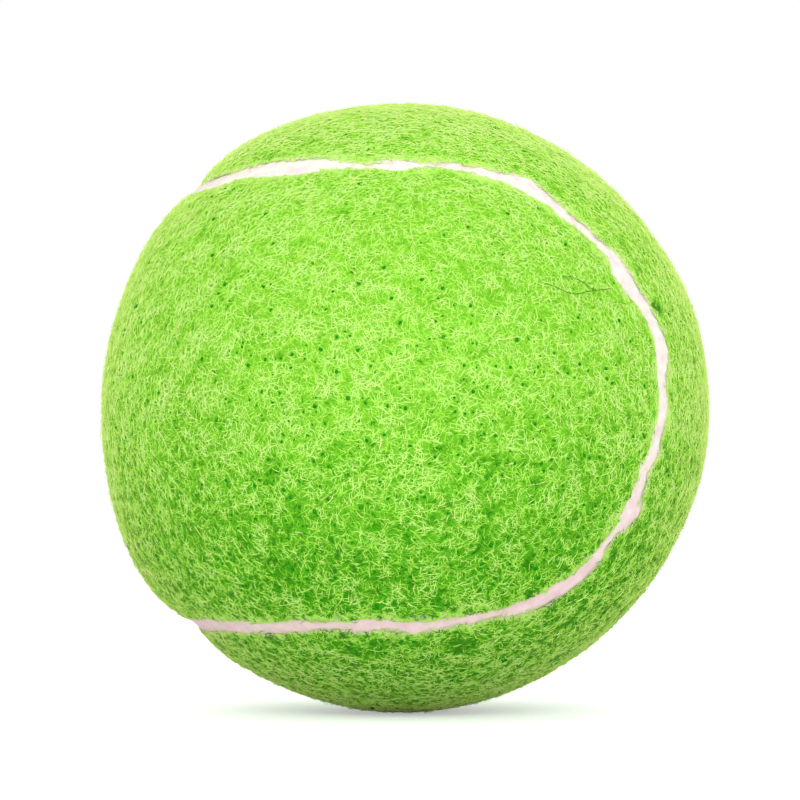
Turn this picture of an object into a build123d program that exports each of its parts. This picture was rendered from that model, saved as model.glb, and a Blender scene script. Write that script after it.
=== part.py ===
"""A pressurised tennis ball, with its felt panels, rubber seam, cement coats and hollow core.

The origin is the ball's centre and +Z is up. The side panel has its waist at -X and its round ends
at -Y and +Y. The upright panel is the same blank turned over: its waist is at +X and its round ends
are at +Z and -Z. The seam runs between them in four circular arcs, one round each end, which meet
tangent to each other half way between neighbouring ends.
"""

import os
from math import acos, asin, atan2, cos, degrees, pi, sin, sqrt, tan

from build123d import *

# Driving dimensions in millimetres
ball_diameter = 67.0  # over the felt
felt_thickness = 3.2
panel_cement_thickness = 0.15  # coat on the back of each felt panel
core_cement_thickness = 0.15  # coat over the core
core_wall = 3.3
waist_width = 48.6  # straight across a panel's waist, between the middles of the seam
seam_width = 2.4  # gap between the panels at the felt's surface
seam_depth = 1.2  # from the felt's surface down to the seam's edges
seam_dish = 0.25  # from the seam's edges down to its middle
felt_edge_radius = 1.4  # rounded shoulder of the felt beside the seam
joint_cement_thickness = 0.3  # film between the rims of the core halves
rim_bevel = 0.8  # bevel inside each core half's rim, which the joint's cement fills

# Radii of the layers, from the outside in
ball_radius = ball_diameter / 2
felt_back_radius = ball_radius - felt_thickness
core_coat_radius = felt_back_radius - panel_cement_thickness
core_radius = core_coat_radius - core_cement_thickness
cavity_radius = core_radius - core_wall

# The seam's arcs, as angles at the ball's centre in radians
cos_meeting = sqrt(1 / 2)  # the arcs meet at 45 degrees between neighbouring ends
tip_angle = pi / 2 - asin(waist_width / ball_diameter)  # from an end's nominal middle to its tip
axis_tilt = atan2(cos(tip_angle) - cos_meeting, sin(tip_angle))  # of an end's axis, towards its waist
arc_angle = acos(cos_meeting * cos(axis_tilt))  # between an end's axis and the middle of the seam
half_arc = atan2(1, sin(axis_tilt))  # turn about an end's axis, from its tip to where the arcs meet
half_gap = seam_width / ball_diameter
end_edge_angle = arc_angle - half_gap  # between an end's axis and the edge of its own panel
waist_edge_angle = arc_angle + half_gap  # between an end's axis and the edge of the other panel

# Where the side panel's edge passes from its round ends to its waist, as a lean of that plane from X = 0
corner_lean = degrees(
    atan2(2 * sin(axis_tilt) * cos(arc_angle) * sin(half_gap), cos(axis_tilt) * sin(waist_edge_angle))
)

# Radii of the seam's strip: its flat base lies on the core's coat along the middle
seam_base_radius = core_coat_radius / cos(half_gap)
seam_edge_radius = ball_radius - seam_depth
seam_middle_radius = seam_edge_radius - seam_dish


def end_axis(facing, waist):
    """Axis of the panel end that faces one way and whose waist lies another way."""
    return facing * cos(axis_tilt) + waist * sin(axis_tilt)


# The panel ends, as the way each faces and the way to its panel's waist
front_end = (Vector(0, -1, 0), Vector(-1, 0, 0))
back_end = (Vector(0, 1, 0), Vector(-1, 0, 0))
top_end = (Vector(0, 0, 1), Vector(1, 0, 0))
bottom_end = (Vector(0, 0, -1), Vector(1, 0, 0))
turn_over_axis = Axis((0, 0, 0), (0, 1, 1))


def layer_wedge(inner, outer, start, size):
    """Wedge of the layer between two radii, turned about Z from a start angle through a size."""
    with BuildPart() as wedge:
        Sphere(outer, arc_size3=size, rotation=(0, 0, start), align=None)
        Sphere(inner, arc_size3=size, rotation=(0, 0, start), align=None, mode=Mode.SUBTRACT)
    return wedge.part


def edge_cone(end, angle):
    """Cone from the ball's centre along a panel end's axis, well past the felt."""
    centre_low = (Align.CENTER, Align.CENTER, Align.MIN)
    with BuildPart(Plane(origin=(0, 0, 0), z_dir=end_axis(*end))) as cone:
        Cone(0, ball_diameter * tan(angle), ball_diameter, align=centre_low)
    return cone.part


def round_end(end, inner, outer, start):
    """Tip of a panel end, from the plane where its edge turns into the waist's."""
    with BuildPart() as tip:
        add(layer_wedge(inner, outer, start, 90))
        add(edge_cone(end, end_edge_angle), mode=Mode.INTERSECT)
    return tip.part


def side_blank(inner, outer):
    """Layer of the side panel between two radii: its waist and its two round ends."""
    with BuildPart() as blank:
        add(layer_wedge(inner, outer, 90 + corner_lean, 180 - 2 * corner_lean))
        add(edge_cone(top_end, waist_edge_angle), mode=Mode.SUBTRACT)
        add(edge_cone(bottom_end, waist_edge_angle), mode=Mode.SUBTRACT)
        add(round_end(front_end, inner, outer, -90 - corner_lean))
        add(round_end(back_end, inner, outer, corner_lean))
    return blank.part


def on_end_plane(radius, angle):
    """Point on a plane through an end's axis, by its radius and its angle from that axis."""
    return (radius * sin(angle), radius * cos(angle))


def arc_start_plane(facing, waist):
    """Plane through an end's axis, as local Y, and the start of the seam's arc round that end."""
    axis = end_axis(facing, waist)
    tip = facing * sin(axis_tilt) - waist * cos(axis_tilt)
    start = tip * cos(half_arc) - axis.cross(tip) * sin(half_arc)
    return Plane(origin=(0, 0, 0), x_dir=start, z_dir=start.cross(axis))


def seam_section(plane):
    """Cross-section of the seam's strip: a flat base, radial walls and a dished top."""
    with BuildSketch(plane) as section:
        with BuildLine():
            near_wall = Line(
                on_end_plane(seam_base_radius, end_edge_angle),
                on_end_plane(seam_edge_radius, end_edge_angle),
            )
            far_wall = Line(
                on_end_plane(seam_edge_radius, waist_edge_angle),
                on_end_plane(seam_base_radius, waist_edge_angle),
            )
            ThreePointArc(near_wall @ 1, on_end_plane(seam_middle_radius, arc_angle), far_wall @ 0)
            Line(far_wall @ 1, near_wall @ 0)
        make_face()
    return section.sketch


def on_ball(edge):
    """Whether an edge lies on the ball's surface."""
    return abs((edge @ 0.5).length - ball_radius) < 1e-4


# Felt panels, cut by one die
with BuildPart() as felt_panel_side:
    add(side_blank(felt_back_radius, ball_radius))
    walls = felt_panel_side.faces().filter_by(GeomType.CONE)
    fillet(walls.edges().filter_by(on_ball), radius=felt_edge_radius)

with BuildPart() as felt_panel_upright:
    add(felt_panel_side.part.rotate(turn_over_axis, 180))

# Cement on the backs of the panels
with BuildPart() as panel_cement_side:
    add(side_blank(core_coat_radius, felt_back_radius))

with BuildPart() as panel_cement_upright:
    add(panel_cement_side.part.rotate(turn_over_axis, 180))

# Rubber seam, one closed strip turned round the axis of each panel end in turn
with BuildPart() as seam_strip:
    for panel_end in (front_end, top_end, back_end, bottom_end):
        arc_start = arc_start_plane(*panel_end)
        arc_axis = Axis(arc_start.origin, arc_start.y_dir)
        revolve(seam_section(arc_start), axis=arc_axis, revolution_arc=degrees(2 * half_arc))

# Cement over the whole core
with BuildPart() as core_cement:
    Sphere(core_coat_radius)
    Sphere(core_radius, mode=Mode.SUBTRACT)

# Moulded halves of the hollow core
with BuildPart() as core_half_upper:
    Sphere(core_radius)
    Sphere(cavity_radius, mode=Mode.SUBTRACT)
    split(bisect_by=Plane.XY.offset(joint_cement_thickness / 2), keep=Keep.TOP)
    rim = core_half_upper.faces().filter_by(GeomType.PLANE)
    chamfer(rim.edges().sort_by(SortBy.RADIUS)[0], length=rim_bevel)

with BuildPart() as core_half_lower:
    add(core_half_upper.part.mirror(Plane.XY))

# Cement between the rims, with the bead that fills their bevels
with BuildPart() as core_joint_cement:
    Sphere(core_radius)
    Sphere(cavity_radius, mode=Mode.SUBTRACT)
    add(core_half_upper.part, mode=Mode.SUBTRACT)
    add(core_half_lower.part, mode=Mode.SUBTRACT)

pieces = {
    "felt_panel_side": felt_panel_side,
    "felt_panel_upright": felt_panel_upright,
    "panel_cement_side": panel_cement_side,
    "panel_cement_upright": panel_cement_upright,
    "seam_strip": seam_strip,
    "core_cement": core_cement,
    "core_half_upper": core_half_upper,
    "core_half_lower": core_half_lower,
    "core_joint_cement": core_joint_cement,
}
os.makedirs("parts", exist_ok=True)
for name, piece in pieces.items():
    piece.part.label = name
    export_step(piece.part, f"parts/{name}.step")
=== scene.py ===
"""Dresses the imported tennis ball: two napped felt panels, the rubber seam and the layers inside.

Lengths are in metres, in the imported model's frame: the origin is the ball's centre and +Z is up. The
side panel has its waist at -X and its round ends at -Y and +Y. The upright panel is the same blank
turned over, with its waist at +X and its round ends at +Z and -Z. The nap is real geometry: straight
fibres are modelled once, and their copies are curled, laid on the felt and kept clear of the seam.
"""

import logging
import math
from collections.abc import Callable
from dataclasses import dataclass, replace
from enum import Enum

import bpy
import numpy as np
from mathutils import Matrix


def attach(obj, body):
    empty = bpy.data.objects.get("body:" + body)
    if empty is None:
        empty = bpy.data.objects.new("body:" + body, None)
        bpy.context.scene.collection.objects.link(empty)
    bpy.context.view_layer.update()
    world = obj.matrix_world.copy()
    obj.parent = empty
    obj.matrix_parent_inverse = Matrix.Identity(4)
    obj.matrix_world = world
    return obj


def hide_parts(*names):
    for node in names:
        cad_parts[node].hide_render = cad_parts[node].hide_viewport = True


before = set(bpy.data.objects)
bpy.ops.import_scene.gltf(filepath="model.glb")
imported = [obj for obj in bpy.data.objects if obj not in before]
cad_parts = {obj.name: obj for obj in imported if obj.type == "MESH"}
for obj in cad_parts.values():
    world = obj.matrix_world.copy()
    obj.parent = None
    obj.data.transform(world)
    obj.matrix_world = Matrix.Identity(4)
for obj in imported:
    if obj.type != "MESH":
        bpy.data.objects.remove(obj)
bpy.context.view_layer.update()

log = logging.getLogger("tennis_ball")

Colour = tuple[float, float, float]
Way = tuple[float, float, float]
MM = 0.001
BODY = "root"
MAP_NAME = "OFBake"
SMOOTH_ANGLE = math.radians(50)

# Turn from a panel's middle to where its round ends begin.
WAIST_TURN = math.radians(42)

# Place on the fibres' tone scale from which they are straw or stained, and keep their own colour.
STRAW = 0.88


def unit(vectors: np.ndarray) -> np.ndarray:
    """Vectors scaled to unit length."""
    return vectors / np.linalg.norm(vectors, axis=-1, keepdims=True)


def hump(away: np.ndarray, reach: float, power: int = 2) -> np.ndarray:
    """Smooth hump that falls from 1 to 0 with the distance from its middle."""
    return np.exp(-((away / reach) ** power))


def start_fresh() -> None:
    """Leaves nothing selected, in object mode."""
    if bpy.context.object and bpy.context.object.mode != "OBJECT":
        bpy.ops.object.mode_set(mode="OBJECT")
    bpy.ops.object.select_all(action="DESELECT")


def vertex_places(mesh: bpy.types.Mesh) -> np.ndarray:
    """Places of a mesh's vertices, one row each."""
    found = np.empty(len(mesh.vertices) * 3)
    mesh.vertices.foreach_get("co", found)
    return found.reshape(-1, 3)


def move_vertices(mesh: bpy.types.Mesh, points: np.ndarray) -> None:
    """Puts a mesh's vertices at new places, one row each."""
    mesh.vertices.foreach_set("co", points.astype(np.float32).ravel())
    mesh.update()


def take_shape(model: bpy.types.Object) -> tuple[np.ndarray, np.ndarray]:
    """Keeps the shape of a model made of triangles, and clears the model away.

    Args:
        model: The model.

    Returns:
        Its vertices, and the vertex numbers of its triangles, one row each.
    """
    mesh = model.data
    points = vertex_places(mesh)
    faces = np.empty(len(mesh.polygons) * 3, np.int64)
    mesh.polygons.foreach_get("vertices", faces)
    bpy.data.meshes.remove(mesh)
    return points, faces.reshape(-1, 3)


def select_faces(piece: bpy.types.Object, picks: Callable[[np.ndarray], np.ndarray]) -> None:
    """Selects the faces of a piece that a test picks, and goes into edit mode.

    Args:
        piece: The active piece.
        picks: Test on the places of faces' middles, one row each.
    """
    bpy.ops.object.mode_set(mode="OBJECT")
    mesh = piece.data
    middles = np.empty(len(mesh.polygons) * 3)
    mesh.polygons.foreach_get("center", middles)
    mask = picks(middles.reshape(-1, 3))
    bpy.context.tool_settings.mesh_select_mode = (False, False, True)
    mesh.vertices.foreach_set("select", np.zeros(len(mesh.vertices), bool))
    mesh.edges.foreach_set("select", np.zeros(len(mesh.edges), bool))
    mesh.polygons.foreach_set("select", mask)
    bpy.ops.object.mode_set(mode="EDIT")


def copies_mesh(
    name: str, points: np.ndarray, faces: np.ndarray, places: np.ndarray | None = None
) -> bpy.types.Mesh:
    """Makes one smooth mesh of many copies of a shape.

    Args:
        name: Name of the mesh.
        points: Each copy's vertices, as copies by vertices by 3.
        faces: Vertex numbers of the shape's triangles, one row each.
        places: Each vertex's place on the fibres' map, for a mesh that has one.

    Returns:
        The mesh.
    """
    count, size = points.shape[:2]
    corners = (faces + size * np.arange(count)[:, None, None]).ravel()
    mesh = bpy.data.meshes.new(name)
    mesh.vertices.add(count * size)
    mesh.loops.add(len(corners))
    mesh.polygons.add(len(corners) // 3)
    mesh.vertices.foreach_set("co", points.astype(np.float32).ravel())
    mesh.loops.foreach_set("vertex_index", corners.astype(np.int32))
    mesh.polygons.foreach_set("loop_start", np.arange(0, len(corners), 3, dtype=np.int32))
    mesh.update(calc_edges=True)
    mesh.polygons.foreach_set("use_smooth", np.ones(len(corners) // 3, bool))
    if places is not None:
        layer = mesh.uv_layers.new(name=MAP_NAME)
        layer.uv.foreach_set("vector", places.reshape(-1, 2)[corners].astype(np.float32).ravel())
    return mesh


def felt_piece(name: str, mesh: bpy.types.Mesh, finish: bpy.types.Material) -> bpy.types.Object:
    """Makes a piece that belongs to the felt.

    Args:
        name: Name of the piece.
        mesh: Its shape.
        finish: Its material.

    Returns:
        The piece.
    """
    mesh.materials.append(finish)
    piece = bpy.data.objects.new(name, mesh)
    bpy.context.scene.collection.objects.link(piece)
    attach(piece, BODY)
    log.info("%s: %d triangles", name, len(mesh.polygons))
    return piece


class Panel(Enum):
    """One of the two felt panels, by how it lies on the ball."""

    SIDE = "side"
    UPRIGHT = "upright"

    @property
    def node(self) -> str:
        """Name of the panel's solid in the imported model."""
        return f"felt_panel_{self.value}"

    @property
    def growth(self) -> int:
        """Sign of the panel's change in width where the seam shifts towards the upright panel."""
        return 1 if self is Panel.SIDE else -1

    def as_side(self, directions: np.ndarray) -> np.ndarray:
        """Turns directions on this panel to the same places on the side panel.

        Args:
            directions: Unit vectors from the ball's centre, along the last axis.

        Returns:
            The turned unit vectors.
        """
        if self is Panel.SIDE:
            return directions
        return directions[..., [0, 2, 1]] * np.array([-1.0, 1.0, 1.0])


def by_panel(upright: np.ndarray, values: Callable[[Panel], np.ndarray]) -> np.ndarray:
    """Takes each fibre's values from those of its own panel.

    Args:
        upright: Whether each fibre grows from the upright panel.
        values: Gives the values of all the fibres as if they grew from one panel.

    Returns:
        The values, one row for each fibre.
    """
    side, other = values(Panel.SIDE), values(Panel.UPRIGHT)
    return np.where(upright.reshape(-1, *[1] * (side.ndim - 1)), other, side)


class End(Enum):
    """A round end of a felt panel, as the way it faces and the way to its panel's waist."""

    FRONT = ((0.0, -1.0, 0.0), (-1.0, 0.0, 0.0))
    BACK = ((0.0, 1.0, 0.0), (-1.0, 0.0, 0.0))
    TOP = ((0.0, 0.0, 1.0), (1.0, 0.0, 0.0))
    BOTTOM = ((0.0, 0.0, -1.0), (1.0, 0.0, 0.0))

    @property
    def facing(self) -> np.ndarray:
        """Way that the end faces."""
        return np.array(self.value[0])

    @property
    def waist(self) -> np.ndarray:
        """Way from the end's middle towards its panel's waist."""
        return np.array(self.value[1])

    @property
    def panel(self) -> Panel:
        """Panel that the end belongs to."""
        return Panel.SIDE if self in (End.FRONT, End.BACK) else Panel.UPRIGHT


class Sector(Enum):
    """A third of a panel's length: one of its round ends, or its waist between them."""

    NEAR = -1
    WAIST = 0
    FAR = 1


@dataclass(frozen=True)
class SeamCourse:
    """Course of the seam: one arc round each panel end, tangent to its neighbours.

    Attributes:
        ball_radius: Over the felt.
        waist_width: Straight across a panel's waist, between the middles of the seam.
        seam_width: Gap between the panels.
    """

    ball_radius: float = 33.5 * MM
    waist_width: float = 48.6 * MM
    seam_width: float = 2.4 * MM

    @property
    def axis_tilt(self) -> float:
        """Lean of an end's axis towards its panel's waist."""
        tip_angle = math.pi / 2 - math.asin(self.waist_width / 2 / self.ball_radius)
        return math.atan2(math.cos(tip_angle) - math.sqrt(0.5), math.sin(tip_angle))

    @property
    def arc_angle(self) -> float:
        """Angle between an end's axis and the middle of the seam round it."""
        return math.acos(math.sqrt(0.5) * math.cos(self.axis_tilt))

    @property
    def half_arc(self) -> float:
        """Turn about an end's axis from the seam's tip to where the arcs meet."""
        return math.atan2(1.0, math.sin(self.axis_tilt))

    @property
    def half_gap(self) -> float:
        """Half the seam's width, as an angle at the ball's centre."""
        return self.seam_width / 2 / self.ball_radius

    @property
    def waist_edge(self) -> float:
        """Angle from an end's axis to the edge of the other panel's waist."""
        return self.arc_angle + self.half_gap

    @property
    def tip_edge(self) -> float:
        """Angle from an end's axis to the edge of its own panel."""
        return self.arc_angle - self.half_gap

    def axis(self, end: End) -> np.ndarray:
        """Unit vector along a panel end's axis."""
        return end.facing * math.cos(self.axis_tilt) + end.waist * math.sin(self.axis_tilt)

    def place(self, end: End, turn: float | np.ndarray, angle: float | np.ndarray) -> np.ndarray:
        """Finds directions by their turn round a panel end.

        Args:
            end: The panel end.
            turn: Turn about the end's axis, from the tip of the seam's arc, in radians.
            angle: Angle from the end's axis, in radians.

        Returns:
            Unit vectors from the ball's centre, along the last axis.
        """
        axis = self.axis(end)
        tip = end.facing * math.sin(self.axis_tilt) - end.waist * math.cos(self.axis_tilt)
        outward = tip * np.cos(turn)[..., None] + np.cross(axis, tip) * np.sin(turn)[..., None]
        return axis * np.cos(angle)[..., None] + outward * np.sin(angle)[..., None]

    def distance(self, directions: np.ndarray, middle: np.ndarray) -> np.ndarray:
        """Straight distances on the ball from directions to one direction."""
        return np.linalg.norm(directions - middle, axis=-1) * self.ball_radius

    def inset(self, directions: np.ndarray, panel: Panel) -> np.ndarray:
        """Measures how far directions lie in from a panel's edge, along the ball.

        Args:
            directions: Unit vectors from the ball's centre, along the last axis.
            panel: The panel whose edge counts.

        Returns:
            Distances in metres, negative outside the panel.
        """
        own = panel.as_side(directions)
        away = {end: np.arccos(np.clip(own @ self.axis(end), -1, 1)) for end in End}
        at_waist = np.minimum(away[End.TOP], away[End.BOTTOM]) - self.waist_edge
        at_tip = self.tip_edge - np.minimum(away[End.FRONT], away[End.BACK])
        return self.ball_radius * np.where(own[..., 0] < 0, at_waist, at_tip)

    def inward(self, directions: np.ndarray, panel: Panel) -> np.ndarray:
        """Ways along the ball in which the distance from a panel's edge grows.

        Args:
            directions: Unit vectors from the ball's centre, one row each.
            panel: The panel whose edge counts.

        Returns:
            Unit vectors, one row each.
        """
        nudge = 1e-4
        aside = (0.31, 0.52, 0.79)
        first = unit(np.cross(directions, aside))
        second = np.cross(directions, first)
        here = self.inset(directions, panel)
        along_first = self.inset(unit(directions + nudge * first), panel) - here
        along_second = self.inset(unit(directions + nudge * second), panel) - here
        return unit(along_first[:, None] * first + along_second[:, None] * second)


class WaveNoise:
    """Smooth noise over space, as a sum of plane waves with seeded ways and phases."""

    def __init__(self, wavelength: float, seed: int, waves: int = 24, spread: float = 0.25) -> None:
        """Draws the waves.

        Args:
            wavelength: Typical distance from crest to crest.
            seed: Seed of the draws.
            waves: How many waves are added.
            spread: How far the waves' lengths differ, on a log scale.
        """
        rng = np.random.default_rng(seed)
        ways = unit(rng.normal(size=(waves, 3)))
        lengths = wavelength * np.exp(rng.normal(scale=spread, size=(waves, 1)))
        self.ways = 2 * math.pi * ways / lengths
        self.phases = rng.uniform(0, 2 * math.pi, waves)

    def at(self, points: np.ndarray) -> np.ndarray:
        """Noise at points, about 0 with a spread of 1."""
        return np.sin(points @ self.ways.T + self.phases).sum(-1) * math.sqrt(2 / len(self.phases))


SEAM_WOBBLE = WaveNoise(9 * MM, seed=15)
NAP_REACH = {Panel.SIDE: WaveNoise(6 * MM, seed=11), Panel.UPRIGHT: WaveNoise(6 * MM, seed=12)}
NAP_FRAY = {Panel.SIDE: WaveNoise(1.3 * MM, seed=21), Panel.UPRIGHT: WaveNoise(1.3 * MM, seed=22)}
FLECKS = WaveNoise(0.85 * MM, seed=61, waves=48, spread=0.6)
PATCHES = WaveNoise(2.4 * MM, seed=62, spread=0.5)
EDGE_DARK_NOISE = WaveNoise(2.2 * MM, seed=63, spread=0.5)
SWIRLS = tuple(WaveNoise(13 * MM, seed) for seed in (31, 32, 33))
TONE_REGIONS = WaveNoise(14 * MM, seed=36)
FELT_LUMPS = WaveNoise(2.5 * MM, seed=41)
RUBBER_LUMPS = WaveNoise(1.8 * MM, seed=51)
RUBBER_SWELLS = WaveNoise(6 * MM, seed=52)


@dataclass(frozen=True)
class SeamStretch:
    """A stretch where the seam runs off its course, or the felt's edges stand back or close in.

    Attributes:
        end: Panel end that the seam goes round there.
        turn: Turn round that end to the stretch's middle, in degrees.
        length: Length of the stretch along the seam.
        overhang: Reach of the nap over the rubber there. Below 0, how far the edges stand back.
        shift: How far the seam lies outside its course, seen from the end.
    """

    end: End
    turn: float
    length: float
    overhang: float
    shift: float = 0.0


STRETCHES = (
    SeamStretch(End.FRONT, 12, 6.0 * MM, -0.15 * MM, 0.7 * MM),
    SeamStretch(End.FRONT, -1, 5.5 * MM, 0.45 * MM, 0.27 * MM),
    SeamStretch(End.FRONT, -10, 3.0 * MM, 0.30 * MM, -0.3 * MM),
    SeamStretch(End.FRONT, -22, 4.5 * MM, 0.25 * MM, -0.9 * MM),
    SeamStretch(End.FRONT, -30, 4.0 * MM, -0.25 * MM, -0.28 * MM),
    SeamStretch(End.FRONT, -40, 3.0 * MM, 0.50 * MM, -0.53 * MM),
    SeamStretch(End.FRONT, -51, 4.0 * MM, 0.20 * MM, 0.4 * MM),
    SeamStretch(End.FRONT, -61, 4.5 * MM, 0.23 * MM),
    SeamStretch(End.FRONT, -82, 6.0 * MM, 0.65 * MM, -0.7 * MM),
    SeamStretch(End.FRONT, 23, 3.5 * MM, 0.10 * MM, 0.1 * MM),
    SeamStretch(End.FRONT, 31.5, 5.4 * MM, -0.42 * MM, -0.7 * MM),
    SeamStretch(End.FRONT, 49, 9.0 * MM, 0.55 * MM, -0.95 * MM),
    SeamStretch(End.FRONT, 66, 4.0 * MM, -0.15 * MM, 0.15 * MM),
    SeamStretch(End.FRONT, 80, 6.0 * MM, 0.65 * MM, -0.45 * MM),
    SeamStretch(End.TOP, 18, 13.0 * MM, 0.05 * MM, 1.15 * MM),
    SeamStretch(End.TOP, 47, 9.0 * MM, -0.20 * MM, 0.28 * MM),
    SeamStretch(End.TOP, 67, 4.0 * MM, 0.90 * MM, 0.65 * MM),
    SeamStretch(End.TOP, 76, 4.0 * MM, 0.50 * MM, 0.45 * MM),
    SeamStretch(End.TOP, 85, 4.0 * MM, 0.90 * MM, 0.15 * MM),
    SeamStretch(End.BOTTOM, -14, 10.0 * MM, 0.25 * MM, 0.25 * MM),
    SeamStretch(End.BOTTOM, -60, 5.0 * MM, 0.70 * MM, 0.1 * MM),
    SeamStretch(End.BOTTOM, -71, 4.0 * MM, 0.35 * MM, 0.45 * MM),
    SeamStretch(End.BOTTOM, -82, 4.0 * MM, 0.60 * MM, -0.3 * MM),
)


@dataclass(frozen=True)
class Swell:
    """A place where one panel's felt is thicker or thinner than usual.

    Attributes:
        panel: Which panel it is on.
        way: Way to its middle from the ball's centre.
        reach: Distance from the middle over which it fades.
        height: How much thicker the felt is there.
    """

    panel: Panel
    way: Way
    reach: float
    height: float


SWELLS = (
    Swell(Panel.SIDE, (-0.84, 0.05, -0.55), 10 * MM, 1.00 * MM),
    Swell(Panel.UPRIGHT, (-0.55, -0.08, 0.83), 11 * MM, 0.65 * MM),
    Swell(Panel.SIDE, (-0.83, -0.02, 0.56), 7 * MM, 0.30 * MM),
    Swell(Panel.SIDE, (-0.98, 0.03, 0.20), 7 * MM, -0.15 * MM),
    Swell(Panel.UPRIGHT, (0.91, -0.30, 0.30), 8 * MM, 0.30 * MM),
    Swell(Panel.UPRIGHT, (0.63, -0.28, 0.73), 10 * MM, -0.18 * MM),
    Swell(Panel.UPRIGHT, (0.71, -0.20, -0.68), 8 * MM, -0.22 * MM),
    Swell(Panel.UPRIGHT, (0.11, -0.20, 0.97), 9 * MM, 0.15 * MM),
    Swell(Panel.UPRIGHT, (-0.15, -0.20, -0.97), 15 * MM, 0.28 * MM),
    Swell(Panel.UPRIGHT, (0.95, -0.25, -0.16), 8 * MM, 0.25 * MM),
    Swell(Panel.UPRIGHT, (-0.64, -0.08, -0.76), 7 * MM, 0.35 * MM),
)


@dataclass(frozen=True)
class FeltSurface:
    """Surface of the felt below its nap, with the shoulders beside the seam.

    Attributes:
        course: Course of the seam.
        body_radius: Of the felt below the nap.
        back_radius: Of the felt's back, which is cemented down.
        shoulder: Radius of the rounding at a panel's edge.
        swell_start: Distance in from the edge over which a swell rises.
        rubber_radius: Level at which fibres lie on the seam's rubber.
        wobble: Usual drift of the seam off its course.
        overhang: Usual reach of the nap over the rubber.
        reach_change: How far that reach changes slowly along the seam.
        reach_fray: How far it changes from one tuft to the next.
    """

    course: SeamCourse
    body_radius: float = 33.32 * MM
    back_radius: float = 30.3 * MM
    shoulder: float = 0.2 * MM
    swell_start: float = 4 * MM
    rubber_radius: float = 33.31 * MM
    wobble: float = 0.12 * MM
    overhang: float = 0.42 * MM
    reach_change: float = 0.10 * MM
    reach_fray: float = 0.11 * MM

    def level(self, directions: np.ndarray, panel: Panel, inset: np.ndarray) -> np.ndarray:
        """Finds the felt's radius, with its rounded edge and its swells.

        Args:
            directions: Unit vectors from the ball's centre, along the last axis.
            panel: The panel that the felt belongs to.
            inset: Distance of each direction in from that panel's edge.

        Returns:
            Radii in metres.
        """
        run = np.clip(self.shoulder - inset, 0, self.shoulder)
        level = self.body_radius - self.shoulder + np.sqrt(self.shoulder**2 - run**2)
        on_panel = np.sqrt(np.clip(inset / self.swell_start, 0, 1))
        for swell in SWELLS:
            if swell.panel is panel:
                away = self.course.distance(directions, unit(np.array(swell.way)))
                level = level + on_panel * swell.height * hump(away, swell.reach)
        return level

    def share(self, stretch: SeamStretch, directions: np.ndarray) -> np.ndarray:
        """How much directions belong to a stretch of the seam, from 0 to 1."""
        middle = self.course.place(stretch.end, math.radians(stretch.turn), self.course.arc_angle)
        return hump(2 * self.course.distance(directions, middle), stretch.length, power=4)

    def wander(self, directions: np.ndarray) -> tuple[np.ndarray, np.ndarray]:
        """Measures how the seam differs from its course.

        Args:
            directions: Unit vectors from the ball's centre, along the last axis.

        Returns:
            How far it lies towards the upright panel, and how much wider it is on each side.
        """
        shift = self.wobble * SEAM_WOBBLE.at(directions * self.course.ball_radius)
        widening = np.zeros(shift.shape)
        for stretch in STRETCHES:
            share = self.share(stretch, directions)
            shift += stretch.end.panel.growth * stretch.shift * share
            widening += max(-stretch.overhang, 0) * share
        return shift, widening

    def inset(self, directions: np.ndarray, panel: Panel) -> np.ndarray:
        """Measures how far directions lie in from a panel's edge as it really runs.

        Args:
            directions: Unit vectors from the ball's centre, along the last axis.
            panel: The panel whose edge counts.

        Returns:
            Distances in metres, negative outside the panel.
        """
        shift, widening = self.wander(directions)
        return self.course.inset(directions, panel) + panel.growth * shift - widening

    def overhang_at(self, directions: np.ndarray, panel: Panel) -> np.ndarray:
        """Reach of a panel's nap over the rubber.

        Args:
            directions: Unit vectors from the ball's centre, along the last axis.
            panel: The panel whose nap it is.

        Returns:
            Distances in metres.
        """
        points = directions * self.course.ball_radius
        reach = self.overhang + self.reach_change * NAP_REACH[panel].at(points)
        reach += self.reach_fray * NAP_FRAY[panel].at(points)
        for stretch in STRETCHES:
            reach += self.share(stretch, directions) * (max(stretch.overhang, 0) - self.overhang)
        return reach


@dataclass(frozen=True)
class DarkSpot:
    """A spot where the felt's tone is darker.

    Attributes:
        way: Way to the spot from the ball's centre.
        radius: Size of the spot.
        depth: How far the tone drops at its middle.
    """

    way: Way
    radius: float
    depth: float


DARK_SPOTS = (
    DarkSpot((0.69, -0.67, 0.28), 0.9 * MM, 0.75),
    DarkSpot((0.07, -0.64, -0.77), 1.2 * MM, 0.50),
    DarkSpot((0.62, -0.67, -0.42), 0.8 * MM, 0.45),
    DarkSpot((-0.48, -0.71, -0.52), 1.1 * MM, 0.45),
    DarkSpot((-0.19, -0.59, -0.78), 1.2 * MM, 0.55),
    DarkSpot((-0.27, -0.57, -0.78), 1.2 * MM, 0.55),
    DarkSpot((0.35, -0.68, -0.64), 0.9 * MM, 0.45),
    DarkSpot((-0.50, -0.44, -0.75), 0.8 * MM, 0.45),
    DarkSpot((0.04, -0.98, -0.21), 0.6 * MM, 0.35),
    DarkSpot((-0.85, -0.49, -0.19), 0.6 * MM, 0.35),
)


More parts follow.
